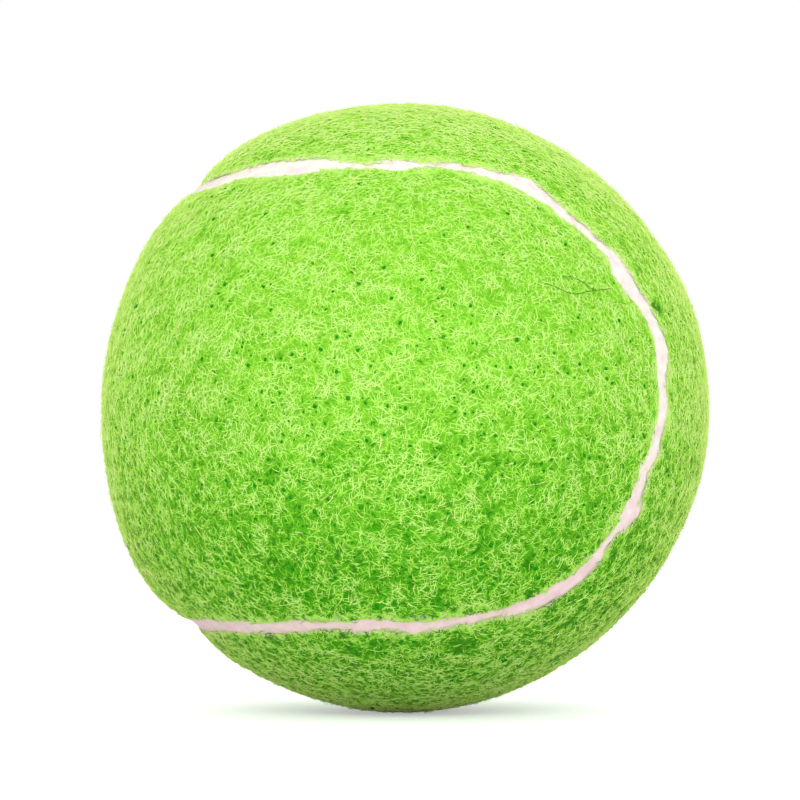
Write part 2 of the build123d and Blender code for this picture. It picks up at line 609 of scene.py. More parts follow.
@dataclass(frozen=True)
class FeltShade:
    """How the felt's tone changes from place to place, in steps on the dye's tone scale: flecks, patches
    and spots, with painted shade on the underside and painted light near the top and the bottom.

    Attributes:
        surface: The felt.
        low_start: Share of the radius above the middle from which the felt counts as facing down.
        low_most: Most that it counts, at the bottom.
        fleck_depth: Contrast of the fine flecks near the top of the ball.
        fleck_growth: How much stronger they are on the underside, as painted shade between the fibres.
        fleck_power: How late that growth sets in.
        fleck_step: How far a fleck's own noise moves the tone.
        fleck_gap: How far the strongest flecks deepen it.
        patch_depth: Contrast of the patches near the top.
        patch_growth: How much stronger they are on the underside, as painted shade.
        lift: Step all over the ball.
        low_slope: How fast the tone drops below the middle of the ball, as painted shade.
        low_limit: Share of the radius below the middle at which it stops dropping.
        pole_slope: How fast the tone rises near the top and the bottom, as painted light.
        pole_start: Share of the radius at which that rise begins.
        edge_dark_depth: How far the upright panel is darkened in patches beside the seam.
        edge_dark_inset: Distance from that panel's edge to the middle of the darkened band.
        edge_dark_reach: Distance over which it fades.
    """

    surface: FeltSurface
    low_start: float = 0.4
    low_most: float = 1.2
    fleck_depth: float = 0.05
    fleck_growth: float = 0.27
    fleck_power: float = 1.5
    fleck_step: float = 0.75
    fleck_gap: float = 0.6
    patch_depth: float = 0.09
    patch_growth: float = 0.03
    lift: float = 0.06
    low_slope: float = 0.45
    low_limit: float = 0.5
    pole_slope: float = 0.4
    pole_start: float = 0.72
    edge_dark_depth: float = 0.12
    edge_dark_inset: float = 0.7 * MM
    edge_dark_reach: float = 0.8 * MM

    def underside(self, points: np.ndarray) -> np.ndarray:
        """How much the felt faces down at points, from 0 near the top, which sets the strength of its
        painted shade.
        """
        return np.clip(self.low_start - points[..., 2] / self.surface.body_radius, 0, self.low_most)

    def at(self, points: np.ndarray) -> np.ndarray:
        """Adds up the changes of tone.

        Args:
            points: Places on the felt, along the last axis.

        Returns:
            Steps on the tone scale, negative where the felt is deeper in colour.
        """
        radius = self.surface.body_radius
        underside = self.underside(points)
        flecks = FLECKS.at(points)
        # Painted shade: flecks and patches grow stronger on the underside.
        contrast = self.fleck_depth + self.fleck_growth * underside**self.fleck_power
        shade = contrast * (self.fleck_step * flecks - self.fleck_gap * (flecks**2 - 1))
        shade += (self.patch_depth + self.patch_growth * underside) * PATCHES.at(points)
        # Painted shade: the tone drops below the middle of the ball.
        shade += self.lift - self.low_slope * np.clip(-points[..., 2] / radius, 0, self.low_limit)
        # Painted light: the tone rises near the top and the bottom of the ball.
        shade += self.pole_slope * np.clip(np.abs(points[..., 2]) / radius - self.pole_start, 0, None)
        edge = self.surface.course.inset(unit(points), Panel.UPRIGHT)
        edge_dark = np.clip(EDGE_DARK_NOISE.at(points), 0, None)
        shade -= self.edge_dark_depth * edge_dark * hump(edge - self.edge_dark_inset, self.edge_dark_reach)
        for spot in DARK_SPOTS:
            away = np.linalg.norm(points - unit(np.array(spot.way)) * radius, axis=-1)
            shade -= spot.depth * hump(away, spot.radius)
        return shade


@dataclass(frozen=True)
class Pits:
    """Needle holes in the felt, where no fibre passes.

    Attributes:
        surface: The felt.
        count: Over the whole ball, with those that are closed or would fall on the seam.
        least: Radius of the smallest hole.
        most: Radius of the largest hole.
        margin: Least distance from a hole to its panel's edge.
        closed: Share of the holes left out near the top and the waists, which thins their painted shade
            there.
        top_start: Share of the radius above the middle at which they start to close.
        top_fade: Share of it over which they do.
        waist_start: Share of the radius towards a waist at which they start to close.
        waist_fade: Share of it over which they do.
        seed: Seed of the draws.
    """

    surface: FeltSurface
    count: int = 4200
    least: float = 0.115 * MM
    most: float = 0.25 * MM
    margin: float = 1.0 * MM
    closed: float = 0.85
    top_start: float = -0.15
    top_fade: float = 0.8
    waist_start: float = 0.55
    waist_fade: float = 0.25
    seed: int = 5

    def places(self) -> tuple[np.ndarray, np.ndarray]:
        """Draws the holes' directions and radii."""
        rng = np.random.default_rng(self.seed)
        middles = unit(rng.normal(size=(self.count, 3)))
        sizes = self.least + (self.most - self.least) * rng.random(self.count) ** 2
        inset = np.maximum(*(self.surface.inset(middles, panel) for panel in Panel))
        near_top = np.clip((middles[:, 2] - self.top_start) / self.top_fade, 0, 1)
        near_waist = np.clip((np.abs(middles[:, 0]) - self.waist_start) / self.waist_fade, 0, 1)
        open_share = 1 - self.closed * np.maximum(near_top, near_waist)
        stays = (inset > self.margin) & (rng.random(self.count) < open_share)
        return middles[stays], sizes[stays]

    def clear(self, lines: np.ndarray) -> np.ndarray:
        """Finds the fibres that pass no hole.

        Args:
            lines: Centre lines of the fibres, as fibres by stations by 3.

        Returns:
            A mask over the fibres.
        """
        middles, sizes = self.places()
        between = np.linspace(0, 1, 4)[:3]
        starts, ends = lines[:, :-1, None], lines[:, 1:, None]
        samples = (starts + (ends - starts) * between[:, None]).reshape(len(lines), -1, 3)
        owner = np.repeat(np.arange(len(lines)), samples.shape[1])
        samples = samples.reshape(-1, 3)
        radius = np.linalg.norm(samples, axis=1).mean()
        order = np.argsort(samples[:, 2])
        samples, owner = samples[order], owner[order]
        stays = np.ones(len(lines), bool)
        for middle, size in zip(middles * radius, sizes, strict=True):
            low, high = np.searchsorted(samples[:, 2], (middle[2] - size, middle[2] + size))
            near = np.linalg.norm(samples[low:high, :2] - middle[:2], axis=1) < size
            in_front = samples[low:high] @ middle > 0
            stays[owner[low:high][near & in_front]] = False
        return stays


@dataclass(frozen=True)
class Strands:
    """Fibres laid on the ball, ready to be modelled.

    Attributes:
        lines: Centre lines, as fibres by stations by 3.
        heights: Heights of those lines over the felt, as fibres by stations.
        thickness: Each fibre's diameter.
        tones: Each fibre's place on the dye's tone scale, from 0 to 1.
        upright: Whether each fibre grows from the upright panel.
    """

    lines: np.ndarray
    heights: np.ndarray
    thickness: np.ndarray
    tones: np.ndarray
    upright: np.ndarray

    def only(self, mask: np.ndarray) -> "Strands":
        """The fibres that a mask picks."""
        return Strands(
            self.lines[mask], self.heights[mask], self.thickness[mask], self.tones[mask], self.upright[mask]
        )

    def thirds(self, panel: Panel) -> dict[Sector, "Strands"]:
        """Sorts a panel's fibres by the third of the panel that their middles lie in.

        Args:
            panel: The panel that they all grow from.

        Returns:
            The fibres of each third.
        """
        own = panel.as_side(self.lines[:, self.lines.shape[1] // 2])
        along = np.arctan2(own[:, 1], -own[:, 0])
        third = np.where(along < -WAIST_TURN, -1, np.where(along > WAIST_TURN, 1, 0))
        return {sector: self.only(third == sector.value) for sector in Sector}


@dataclass(frozen=True)
class FibreMap:
    """Map of the fibres: tone runs across it, and height in the nap runs up it; the tone also carries
    painted shade low in the nap.

    Attributes:
        full_nap: Height of the whole nap.
        middle: Share of that height at which a fibre keeps its own tone.
        tint: How much lighter a fibre is at the top of the nap than at the felt, as painted shade low in
            the nap and painted light high in it.
        low_tint: How much more that painted shade and light count on the underside of the ball.
        darkest: Least tone of a dyed fibre.
        straw_gap: How far a dyed fibre's tone stays below the straw's.
        level_middle: Place up the map at that middle height.
        level_slope: How far up the map the whole nap reaches.
        lowest: Least place up the map.
        highest: Greatest place up the map of a fibre's first point.
        tone_strip: Half the width of a fibre's strip across the map.
        level_strip: Extra step up the map from one station to the next.
    """

    full_nap: float = 0.5 * MM
    middle: float = 0.27
    tint: float = 0.22
    low_tint: float = 1.6
    darkest: float = 0.01
    straw_gap: float = 0.02
    level_middle: float = 0.57
    level_slope: float = 0.4
    lowest: float = 0.02
    highest: float = 0.96
    tone_strip: float = 0.0015
    level_strip: float = 0.004

    def places(
        self, strands: Strands, shade: FeltShade, station: np.ndarray, side: np.ndarray
    ) -> np.ndarray:
        """Finds the places of the fibres' vertices on the map.

        Args:
            strands: The fibres.
            shade: Changes of tone over the felt.
            station: Station of each vertex of a fibre.
            side: Side of the fibre that each vertex is on, from -1 to 1.

        Returns:
            Places as fibres by vertices by 2.
        """
        height = strands.heights / self.full_nap - self.middle
        # Painted shade: a fibre is darker the lower it lies in the nap, more so on the underside.
        tint = self.tint * (1 + self.low_tint * shade.underside(strands.lines)) * height
        own = strands.tones[:, None]
        shaded = np.clip(own + shade.at(strands.lines) + tint, self.darkest, STRAW - self.straw_gap)
        tone = np.where(own < STRAW, shaded, own)
        # The place up the map sets how far the finish darkens the fibre as painted shade.
        level = np.clip(self.level_middle + self.level_slope * height, self.lowest, self.highest)
        across = tone[:, station] + self.tone_strip * side
        return np.stack([across, level[:, station] + self.level_strip * station], axis=2)


class FibreStock:
    """One straight fibre with pointed ends, modelled once for all its curled copies.

    Attributes:
        softness: How far the fibres' normals follow the felt's, which lights the nap as one soft surface.
    """

    softness: float = 0.88

    def __init__(self, stations: int, sides: int = 3) -> None:
        """Models the fibre and keeps its shape as arrays.

        Args:
            stations: Places along its length, with both points.
            sides: Sides of its section.
        """
        last = stations - 1
        fewest_rings = 3
        start_fresh()
        bpy.ops.mesh.primitive_uv_sphere_add(segments=sides, ring_count=max(last, fewest_rings), radius=1)
        model = bpy.context.object
        for vertex in model.data.vertices:
            turn = math.acos(np.clip(vertex.co.z, -1, 1))
            vertex.co.z = math.cos(round(turn / math.pi * last) / last * math.pi)
        bpy.ops.object.mode_set(mode="EDIT")
        bpy.ops.mesh.select_all(action="SELECT")
        bpy.ops.mesh.remove_doubles(threshold=0.01)
        bpy.ops.mesh.quads_convert_to_tris()
        bpy.ops.object.mode_set(mode="OBJECT")
        points, self.faces = take_shape(model)
        reach = np.linalg.norm(points[:, :2], axis=1)
        at_point = reach < 0.01
        self.across = points[:, :2] / np.where(at_point, np.inf, reach)[:, None]
        self.station = np.rint(np.arccos(np.clip(points[:, 2], -1, 1)) / math.pi * last).astype(int)
        self.side = np.where(at_point, 0.0, np.arctan2(points[:, 1], points[:, 0]) / math.pi)

    def mesh(self, name: str, strands: Strands, shade: FeltShade) -> bpy.types.Mesh:
        """Bends a copy of the fibre along each centre line.

        Args:
            name: Name of the mesh.
            strands: The fibres.
            shade: Changes of tone over the felt that they lie on.

        Returns:
            A mesh with all the copies and their map of tone by height.
        """
        outward = unit(strands.lines)
        along = unit(np.gradient(strands.lines, axis=1))
        across = unit(np.cross(along, outward))
        upward = np.cross(across, along)
        away = across[:, self.station] * self.across[:, :1] + upward[:, self.station] * self.across[:, 1:]
        points = strands.lines[:, self.station] + strands.thickness[:, None, None] / 2 * away
        normals = unit(outward[:, self.station] * self.softness + away * (1 - self.softness))
        places = FibreMap().places(strands, shade, self.station, self.side)
        mesh = copies_mesh(name, points, self.faces, places)
        mesh.normals_split_custom_set_from_vertices(normals.reshape(-1, 3))
        return mesh


@dataclass(frozen=True)
class NapLayer:
    """One layer of the nap.

    Attributes:
        name: What the layer is.
        count: Fibres laid over the whole ball.
        stations: Places along each fibre.
        length: Usual length of a fibre.
        thickness: Usual diameter of a fibre.
        height: Usual height of a fibre's ends over the felt.
        height_spread: How far that height varies.
        arch: Usual rise of a fibre's middle over its ends.
        bend: Usual turn of a fibre from end to end, in degrees.
        tone: Usual tone of a fibre.
        seed: Seed of the layer's draws.
        parted: Share of fibres that are missing where the nap is parted.
        in_thirds: Whether a panel's fibres make three pieces.
    """

    name: str
    count: int
    stations: int
    length: float
    thickness: float
    height: float
    height_spread: float
    arch: float
    bend: float
    tone: float
    seed: int
    parted: float = 0.0
    in_thirds: bool = False


UNDER_NAP = NapLayer(
    "under_nap", count=56000, stations=3, length=1.4 * MM, thickness=0.125 * MM, height=0.05 * MM,
    height_spread=0.03 * MM, arch=0.03 * MM, bend=40, tone=0.56, seed=21, in_thirds=True,
)
TOP_NAP = NapLayer(
    "top_nap", count=58000, stations=4, length=1.35 * MM, thickness=0.082 * MM, height=0.08 * MM,
    height_spread=0.05 * MM, arch=0.08 * MM, bend=40, tone=0.62, seed=22, parted=0.4, in_thirds=True,
)
SHORT_NAP = NapLayer(
    "short_nap", count=94000, stations=3, length=0.75 * MM, thickness=0.082 * MM, height=0.11 * MM,
    height_spread=0.05 * MM, arch=0.05 * MM, bend=28, tone=0.61, seed=27, parted=0.4, in_thirds=True,
)
LOOSE_CURLS = NapLayer(
    "loose_curls", count=4000, stations=4, length=1.5 * MM, thickness=0.068 * MM, height=0.14 * MM,
    height_spread=0.06 * MM, arch=0.10 * MM, bend=65, tone=0.67, seed=23, parted=0.4,
)
FUZZ = NapLayer(
    "fuzz", count=18000, stations=3, length=0.65 * MM, thickness=0.052 * MM, height=0.18 * MM,
    height_spread=0.16 * MM, arch=0.05 * MM, bend=30, tone=0.62, seed=25, parted=0.5,
)
EDGE_FRINGE = NapLayer(
    "edge_fringe", count=13000, stations=4, length=1.0 * MM, thickness=0.095 * MM, height=0.06 * MM,
    height_spread=0.04 * MM, arch=0.08 * MM, bend=45, tone=0.61, seed=24,
)
STAINED_FRINGE = NapLayer(
    "stained_fringe", count=11000, stations=4, length=0.5 * MM, thickness=0.060 * MM, height=0.06 * MM,
    height_spread=0.04 * MM, arch=0.06 * MM, bend=60, tone=0.95, seed=26,
)


@dataclass(frozen=True)
class Nap:
    """Lays the nap's fibres on both panels.

    Attributes:
        surface: The felt.
        pits: The needle holes.
        scatter: Spread of the roots about their places in an even spiral, in spacings.
        heading_spread: Spread of headings about the lay of the nap, in degrees.
        length_spread: Spread of lengths, on a log scale.
        wave: Spread of the small turns along a fibre, in degrees.
        tone_spread: Spread of tones from fibre to fibre.
        region_tone: Spread of tones from region to region.
        straw_share: Share of the fibres that are straw-coloured.
        palest_straw: Greatest tone of those.
        parting: How deep a fleck parts the nap at the height of the ball's centre.
        parting_slope: How much deeper it must be at the top.
        darkest: Least tone of a fibre.
        thicknesses: Least and greatest thickness, over the layer's usual one.
        least_height: Of a fibre over the felt.
        steepest: Most that a fibre arches, over its layer's usual arch.
    """

    surface: FeltSurface
    pits: Pits
    scatter: float = 0.6
    heading_spread: float = 65
    length_spread: float = 0.28
    wave: float = 13
    tone_spread: float = 0.085
    region_tone: float = 0.02
    straw_share: float = 0.016
    palest_straw: float = 0.94
    parting: float = 1.1
    parting_slope: float = 1.3
    darkest: float = 0.02
    thicknesses: tuple[float, float] = (0.8, 1.2)
    least_height: float = 0.02 * MM
    steepest: float = 2.5

    def roots(self, count: int, rng: np.random.Generator) -> np.ndarray:
        """Spreads directions evenly over the ball, each a little off its place in a spiral."""
        number = np.arange(count)
        upward = 1 - (2 * number + 1) / count
        turn = number * math.pi * (3 - math.sqrt(5))
        level = np.sqrt(1 - upward**2)
        found = np.stack([level * np.cos(turn), level * np.sin(turn), upward], axis=1)
        found += rng.normal(scale=self.scatter * math.sqrt(4 * math.pi / count), size=found.shape)
        return unit(found)

    def lay_of_nap(self, roots: np.ndarray) -> tuple[np.ndarray, np.ndarray]:
        """Two square ways along the felt at each root, the first along the nap's swirls."""
        points = roots * self.surface.course.ball_radius
        first = np.stack([swirl.at(points) for swirl in SWIRLS], axis=1)
        first = unit(first - roots * (first * roots).sum(1, keepdims=True))
        return first, np.cross(roots, first)

    def inset_of(self, directions: np.ndarray, upright: np.ndarray) -> np.ndarray:
        """Distance in from the edge of each fibre's own panel."""
        course = self.surface.course
        shift, widening = self.surface.wander(directions)
        return by_panel(upright, lambda own: course.inset(directions, own) + own.growth * shift) - widening

    def reach_of(self, directions: np.ndarray, upright: np.ndarray) -> np.ndarray:
        """Reach over the rubber of each fibre's own panel."""
        return by_panel(upright, lambda own: self.surface.overhang_at(directions, own))

    def tones(self, roots: np.ndarray, middle: float, rng: np.random.Generator) -> np.ndarray:
        """Draws the fibres' tones, in regions with a few straw-coloured ones."""
        count = len(roots)
        tone = middle + rng.normal(scale=self.tone_spread, size=count)
        tone += self.region_tone * TONE_REGIONS.at(roots * self.surface.course.ball_radius)
        straw = rng.random(count) < self.straw_share
        pale = rng.uniform(STRAW, self.palest_straw, count)
        return np.where(straw, pale, np.clip(tone, self.darkest, STRAW))

    def curls(
        self, layer: NapLayer, headings: np.ndarray, rng: np.random.Generator
    ) -> tuple[np.ndarray, np.ndarray]:
        """Draws the fibres' courses on the flat.

        Args:
            layer: The layer that they belong to.
            headings: Each fibre's heading from the lay of the nap, in radians.
            rng: Source of the draws.

        Returns:
            How far each station lies along and across the lay of the nap.
        """
        count, steps = len(headings), layer.stations - 1
        length = layer.length * np.exp(rng.normal(scale=self.length_spread, size=count))
        bend = math.radians(layer.bend) * rng.normal(size=count)
        wave = np.radians(rng.normal(scale=self.wave, size=(count, steps)))
        way = headings[:, None] + bend[:, None] * np.linspace(-0.5, 0.5, steps) + wave
        stride = (length / steps)[:, None]
        along = np.cumsum(np.pad(stride * np.cos(way), ((0, 0), (1, 0))), axis=1)
        across = np.cumsum(np.pad(stride * np.sin(way), ((0, 0), (1, 0))), axis=1)
        return along, across

    def lay(self, layer: NapLayer) -> Strands:
        """Lays one layer over the whole ball.

        Args:
            layer: The layer.

        Returns:
            Its fibres, without those that would cover a hole, a parting or the seam.
        """
        rng = np.random.default_rng(layer.seed)
        roots = self.roots(layer.count, rng)
        upright = self.surface.inset(roots, Panel.UPRIGHT) > self.surface.inset(roots, Panel.SIDE)
        headings = rng.normal(scale=math.radians(self.heading_spread), size=layer.count)
        along, across = self.curls(layer, headings, rng)
        along -= along.mean(axis=1, keepdims=True)
        across -= across.mean(axis=1, keepdims=True)
        lines, heights = self.on_felt(layer, roots, upright, along, across, rng)
        reach = self.reach_of(roots, upright)
        stays = (self.inset_of(unit(lines), upright) >= -reach[:, None]).all(axis=1)
        if layer is not UNDER_NAP:
            stays &= self.pits.clear(lines)
        flecks = FLECKS.at(roots * self.surface.course.ball_radius)
        parted = flecks < -self.parting - self.parting_slope * roots[:, 2]
        stays &= ~(parted & (rng.random(layer.count) < layer.parted))
        thickness = layer.thickness * rng.uniform(*self.thicknesses, layer.count)
        strands = Strands(lines, heights, thickness, self.tones(roots, layer.tone, rng), upright)
        return strands.only(stays)

    def on_felt(
        self,
        layer: NapLayer,
        roots: np.ndarray,
        upright: np.ndarray,
        along: np.ndarray,
        across: np.ndarray,
        rng: np.random.Generator,
    ) -> tuple[np.ndarray, np.ndarray]:
        """Puts flat courses on the felt, at the layer's height.

        Args:
            layer: The layer that the fibres belong to.
            roots: Directions of their middles.
            upright: Whether each grows from the upright panel.
            along: How far each station lies along the lay of the nap.
            across: How far it lies across it.
            rng: Source of the draws.

        Returns:
            The fibres' centre lines, and their heights over the felt.
        """
        first, second = self.lay_of_nap(roots)
        flat = along[..., None] * first[:, None] + across[..., None] * second[:, None]
        directions = unit(roots[:, None] + flat / self.surface.body_radius)
        steps = np.linspace(0, 1, layer.stations)
        ends = layer.height + layer.height_spread * rng.normal(size=(2, len(roots), 1))
        rise = layer.arch * rng.exponential(size=(len(roots), 1)).clip(0, self.steepest)
        heights = ends[0] * (1 - steps) + ends[1] * steps + rise * np.sin(math.pi * steps)
        heights = heights.clip(self.least_height, None)
        inset = self.inset_of(directions, upright)
        level = by_panel(upright, lambda own: self.surface.level(directions, own, inset))
        radius = level.clip(self.surface.rubber_radius, None) + heights
        return directions * radius[..., None], heights


@dataclass(frozen=True)
class Fringe:
    """Short fibres along the panels' edges: dyed ones that reach over the rubber, or stained ones.

    The stained ones are pale fibres that the rubber has caught, and lead from it back onto the felt.

    Attributes:
        nap: The nap that they belong to.
        stained: Whether they are the stained ones.
        dyed_share: Share of the dyed fibres that grow from the upright panel.
        stained_share: Share of the stained ones that do.
        thicknesses: Least and greatest thickness, over the layer's usual one.
        roots: Least and greatest distance in from the edge to a dyed fibre's root.
        tips: Least and greatest reach of a dyed fibre over the rubber, over the nap's reach.
        caught: The same of a stained fibre's caught end.
        lengths: Least and greatest usual length of a stained fibre.
        upright_length: How much longer the upright panel's stained fibres are.
        side_length: How much longer the side panel's are.
        pale_tones: Least and greatest tone of a stained fibre.
        upright_tone: How much paler the upright panel's are.
        lean: Spread of headings about the way out, in degrees.
        least_way_out: Least share of a leaning fibre's length that counts as its way out.
        droop: Share of its height that a fibre loses at its end on the rubber.
        shortest: Length of the shortest fibre that is kept.
        longest: Length of the longest.
    """

    nap: Nap
    stained: bool
    dyed_share: float = 0.5
    stained_share: float = 0.65
    thicknesses: tuple[float, float] = (0.7, 1.15)
    roots: tuple[float, float] = (-0.05 * MM, 0.9 * MM)
    tips: tuple[float, float] = (0.5, 1.12)
    caught: tuple[float, float] = (0.75, 1.15)
    lengths: tuple[float, float] = (0.15 * MM, 0.5 * MM)
    upright_length: float = 1.25
    side_length: float = 0.6
    pale_tones: tuple[float, float] = (0.885, 0.95)
    upright_tone: float = 0.03
    lean: float = 38
    least_way_out: float = 0.45
    droop: float = 0.85
    shortest: float = 0.15 * MM
    longest: float = 2.2 * MM

    @property
    def layer(self) -> NapLayer:
        """The layer that the fibres make."""
        return STAINED_FRINGE if self.stained else EDGE_FRINGE

    def spans(
        self, limit: np.ndarray, upright: np.ndarray, rng: np.random.Generator
    ) -> tuple[np.ndarray, np.ndarray]:
        """Draws how far in from the edge the fibres start and finish.

        Args:
            limit: Place of the nap's usual end over the rubber, below 0.
            upright: Whether each fibre grows from the upright panel.
            rng: Source of the draws.

        Returns:
            The distances in from the edge at both ends, negative over the rubber.
        """
        count = len(limit)
        if self.stained:
            start = limit * rng.uniform(*self.caught, count)
            longer = np.where(upright, self.upright_length, self.side_length)
            return start, start + rng.uniform(*self.lengths, count) * longer
        start = rng.uniform(*self.roots, count)
        return start, limit * rng.uniform(*self.tips, count)

    def strands(self) -> Strands:
        """Lays the fibres.

        Returns:
            The fibres, without those that come out too short or too long.
        """
        nap, layer, surface = self.nap, self.layer, self.nap.surface
        course, count = surface.course, layer.count
        rng = np.random.default_rng(layer.seed)
        picks = rng.integers(0, len(End), count)
        turns = rng.uniform(-course.half_arc, course.half_arc, count)
        upright = rng.random(count) < (self.stained_share if self.stained else self.dyed_share)

        def beside(away: np.ndarray) -> np.ndarray:
            """Directions at distances from the seam's middle, away from the panel ends."""
            found = np.empty((count, 3))
            for number, end in enumerate(End):
                own = picks == number
                angle = course.arc_angle + away[own] / course.ball_radius
                found[own] = course.place(end, turns[own], angle)
            return found

        middles = beside(np.zeros(count))
        start, finish = self.spans(-nap.reach_of(middles, upright), upright, rng)
        shift, widening = surface.wander(middles)
        edge = course.seam_width / 2 + widening + start
        growth = np.array([end.panel.growth for end in End])[picks]
        away = np.where(upright == (growth < 0), -1, 1) * edge + growth * shift
        roots = beside(away)
        first, second = nap.lay_of_nap(roots)
        outward = -by_panel(upright, lambda own: course.inward(roots, own))
        outward *= np.sign(start - finish)[:, None]
        lean = rng.normal(scale=math.radians(self.lean), size=count)
        headings = np.arctan2((outward * second).sum(1), (outward * first).sum(1)) + lean
        wanted = np.abs(start - finish) / np.cos(lean).clip(self.least_way_out, 1)
        along, across = nap.curls(layer, headings, rng)
        scale = (wanted / np.hypot(along[:, -1], across[:, -1]))[:, None]
        lines, heights = nap.on_felt(layer, roots, upright, along * scale, across * scale, rng)
        to_rubber = np.linspace(0, 1, layer.stations)
        droop = self.droop * (to_rubber[::-1] if self.stained else to_rubber) ** 2
        lines = lines - unit(lines) * (heights * droop)[..., None]
        tones = nap.tones(roots, layer.tone, rng)
        if self.stained:
            tones = rng.uniform(*self.pale_tones, count) + np.where(upright, self.upright_tone, 0)
        thickness = layer.thickness * rng.uniform(*self.thicknesses, count)
        strands = Strands(lines, heights * (1 - droop), thickness, tones, upright)
        return strands.only((wanted > self.shortest) & (wanted < self.longest))


class NodeBoard:
    """Adds and joins the nodes of one material or group."""

    def __init__(self, tree: bpy.types.NodeTree) -> None:
        """Keeps the tree that the nodes go to."""
        self.tree = tree

    def add(self, kind: str, values: dict[str, object] | None = None, **settings: object) -> bpy.types.Node:
        """Adds a node.

        Args:
            kind: The node's type.
            values: Values of its inputs.
            **settings: Properties to set on it.

        Returns:
            The node.
        """
        node = self.tree.nodes.new(kind)
        for name, value in settings.items():
            setattr(node, name, value)
        for name, value in (values or {}).items():
            node.inputs[name].default_value = value
        return node

    def join(self, source: bpy.types.NodeSocket, target: bpy.types.NodeSocket) -> None:
        """Links one node's output to another's input."""
        self.tree.links.new(source, target)


def new_material(
    name: str, values: dict[str, object]
) -> tuple[bpy.types.Material, NodeBoard, bpy.types.Node]:
    """Makes a material.

    Args:
        name: Name of the material.
        values: Values of its shader's inputs.

    Returns:
        The material, the board for its nodes and its shader.
    """
    material = bpy.data.materials.new(name)
    material.use_nodes = True
    shader = material.node_tree.nodes["Principled BSDF"]
    for socket, value in values.items():
        shader.inputs[socket].default_value = value
    return material, NodeBoard(material.node_tree), shader


def mottle_group() -> bpy.types.NodeTree:
    """Makes the group that all the mottled finishes share, or finds it.

    Returns:
        A group with a colour that drifts between two shades, and a height for bumps.
    """
    if "mottle" in bpy.data.node_groups:
        return bpy.data.node_groups["mottle"]
    group = bpy.data.node_groups.new("mottle", "ShaderNodeTree")
    for name, kind in (("Scale", "Float"), ("Dark", "Color"), ("Light", "Color")):
        group.interface.new_socket(name, in_out="INPUT", socket_type=f"NodeSocket{kind}")
    for name, kind in (("Colour", "Color"), ("Height", "Float")):
        group.interface.new_socket(name, in_out="OUTPUT", socket_type=f"NodeSocket{kind}")
    board = NodeBoard(group)
    given = board.add("NodeGroupInput")
    result = board.add("NodeGroupOutput")
    place = board.add("ShaderNodeTexCoord")
    noise = board.add("ShaderNodeTexNoise", {"Detail": 5.0, "Roughness": 0.6})
    spread = board.add("ShaderNodeMapRange", {"From Min": 0.32, "From Max": 0.68})
    mix = board.add("ShaderNodeMix", data_type="RGBA")
    board.join(place.outputs["Object"], noise.inputs["Vector"])
    board.join(given.outputs["Scale"], noise.inputs["Scale"])
    board.join(noise.outputs["Fac"], spread.inputs["Value"])
    board.join(spread.outputs["Result"], mix.inputs["Factor"])
    board.join(given.outputs["Dark"], mix.inputs["A"])
    board.join(given.outputs["Light"], mix.inputs["B"])
    board.join(mix.outputs["Result"], result.inputs["Colour"])
    board.join(noise.outputs["Fac"], result.inputs["Height"])
    return group


@dataclass(frozen=True)
class MottledFinish:
    """A matt finish whose colour drifts between two shades over fine bumps.

    Attributes:
        name: Name of the material.
        dark: The darker shade.
        light: The lighter shade.
        grain: Distance across one patch of colour.
        bump: Height of the bumps.
        roughness: Of the surface.
        shine: Level of its mirror reflection.
    """

    name: str
    dark: Colour
    light: Colour
    grain: float
    bump: float
    roughness: float
    shine: float = 0.25

    def material(self) -> bpy.types.Material:
        """Makes the material."""
        looks = {"Roughness": self.roughness, "Specular IOR Level": self.shine}
        material, board, shader = new_material(self.name, looks)
        mottle = board.add("ShaderNodeGroup", node_tree=mottle_group())
        mottle.inputs["Scale"].default_value = 1 / self.grain
        mottle.inputs["Dark"].default_value = (*self.dark, 1)
        mottle.inputs["Light"].default_value = (*self.light, 1)
        bump = board.add("ShaderNodeBump", {"Distance": self.bump})
        board.join(mottle.outputs["Colour"], shader.inputs["Base Color"])
        board.join(mottle.outputs["Height"], bump.inputs["Height"])
        board.join(bump.outputs["Normal"], shader.inputs["Normal"])
        return material


@dataclass(frozen=True, kw_only=True)
class DeepeningFinish(MottledFinish):
    """A mottled finish that darkens towards the underside of the ball, as painted shade.

    Attributes:
        deep: The colour of the painted shade at the bottom.
        share: How far it goes to that colour.
        top: Height at which the painted shade starts.
        bottom: Height at which the painted shade is deepest.
    """

    deep: Colour
    share: float
    top: float
    bottom: float

    def material(self) -> bpy.types.Material:
        """Makes the material."""
        material = super().material()
        board = NodeBoard(material.node_tree)
        base = material.node_tree.nodes["Principled BSDF"].inputs["Base Color"]
        # Painted shade: the colour darkens towards the deep colour lower down the ball.
        place = board.add("ShaderNodeTexCoord")
        axes = board.add("ShaderNodeSeparateXYZ")
        depths = {"From Min": self.top, "From Max": self.bottom, "To Max": self.share}
        fall = board.add("ShaderNodeMapRange", depths)
        mix = board.add("ShaderNodeMix", {"B": (*self.deep, 1)}, data_type="RGBA")
        board.join(place.outputs["Object"], axes.inputs["Vector"])
        board.join(axes.outputs["Z"], fall.inputs["Value"])
        board.join(fall.outputs["Result"], mix.inputs["Factor"])
        board.join(base.links[0].from_socket, mix.inputs["A"])
        board.join(mix.outputs["Result"], base)
        return material


